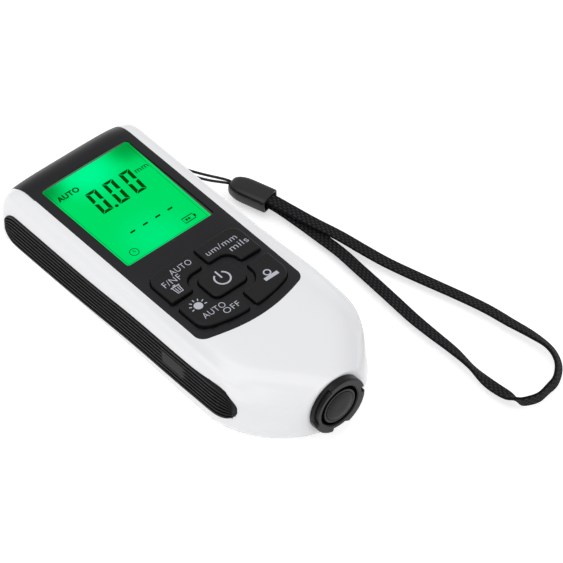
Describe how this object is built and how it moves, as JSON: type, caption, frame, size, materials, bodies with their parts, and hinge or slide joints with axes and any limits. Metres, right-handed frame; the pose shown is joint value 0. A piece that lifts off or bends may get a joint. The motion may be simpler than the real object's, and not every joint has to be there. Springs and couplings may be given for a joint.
{
  "type": "coating thickness gauge",
  "caption": "Pocket coating thickness gauge with a backlit display, a field of keys, a sprung measuring probe at the nose, ribbed side grips and a wrist strap.",
  "frame": {"origin": "bottom centre of the gauge's box without the strap, on the plane its back rests on", "axes": "+Z out of the display, +Y towards the display's top end, the probe points along -Y, +X to the right of the display"},
  "size_m": [0.0779, 0.13, 0.0209],
  "materials": {
    "case_white": "smooth gloss",
    "panel_black": "smooth semi-gloss",
    "key_black": "satin with printed legends",
    "grip_rubber": "ribbed matte rubber",
    "window_clear": "clear",
    "lcd_green": "backlit green",
    "lcd_frame_grey": "moulded",
    "backlight_milk": "milky",
    "connector_rubber": "conductive rubber",
    "board_green": "solder mask",
    "chip_black": "moulded",
    "switch_metal": "stamped",
    "cell_blue": "printed jacket",
    "spring_steel": "drawn wire",
    "screw_steel": "plated",
    "collar_black": "moulded",
    "sleeve_black": "moulded",
    "tip_steel": "dark hardened",
    "core_steel": "turned",
    "coil_copper": "enamelled copper",
    "lead_black": "cable jacket",
    "cord_black": "braided",
    "bead_black": "moulded",
    "band_black": "woven"
  },
  "bodies": {
    "case": {"front_case": "case_white", "rear_case": "case_white", "front_panel": "panel_black", "grip_left": "grip_rubber", "grip_right": "grip_rubber", "display_window": "window_clear", "lcd_glass": "lcd_green", "lcd_frame": "lcd_frame_grey", "backlight_plate": "backlight_milk", "lcd_connector": "connector_rubber", "main_board": "board_green", "controller_chip": "chip_black", "key_switches": "switch_metal", "battery_left": "cell_blue", "battery_right": "cell_blue", "battery_springs": "spring_steel", "battery_contacts": "spring_steel", "case_screws": "screw_steel", "probe_collar": "collar_black", "probe_housing": "sleeve_black", "probe_spring": "spring_steel", "probe_lead": "lead_black", "strap_cord": "cord_black", "strap_bead": "bead_black", "strap_band": "band_black"},
    "key_power": {"key_power": "key_black"},
    "key_mode": {"key_mode": "key_black"},
    "key_units": {"key_units": "key_black"},
    "key_light": {"key_light": "key_black"},
    "key_zero": {"key_zero": "key_black"},
    "probe": {"probe_sleeve": "sleeve_black", "probe_tip": "tip_steel", "probe_core": "core_steel", "probe_coil": "coil_copper"},
    "battery_door": {"battery_cover": "case_white"}
  },
  "joints": [
    {"name": "key_power_press", "type": "slide", "parent": "case", "child": "key_power", "axis": [0, 0, -1], "range_m": [0, 0.0006], "stiffness_N_per_m": 800, "springref_m": -0.0006},
    {"name": "key_mode_press", "type": "slide", "parent": "case", "child": "key_mode", "axis": [0, 0, -1], "range_m": [0, 0.0006], "stiffness_N_per_m": 800, "springref_m": -0.0006},
    {"name": "key_units_press", "type": "slide", "parent": "case", "child": "key_units", "axis": [0, 0, -1], "range_m": [0, 0.0006], "stiffness_N_per_m": 800, "springref_m": -0.0006},
    {"name": "key_light_press", "type": "slide", "parent": "case", "child": "key_light", "axis": [0, 0, -1], "range_m": [0, 0.0006], "stiffness_N_per_m": 800, "springref_m": -0.0006},
    {"name": "key_zero_press", "type": "slide", "parent": "case", "child": "key_zero", "axis": [0, 0, -1], "range_m": [0, 0.0006], "stiffness_N_per_m": 800, "springref_m": -0.0006},
    {"name": "probe_press", "type": "slide", "parent": "case", "child": "probe", "axis": [0, 1, 0], "range_m": [0, 0.0015], "stiffness_N_per_m": 600, "springref_m": -0.001, "deforming": ["probe_spring"]},
    {"name": "battery_door_hinge", "type": "hinge", "parent": "case", "child": "battery_door", "pos_m": [0, -0.01165, 0], "axis": [-1, 0, 0], "range_deg": [0, 95]}
  ]
}
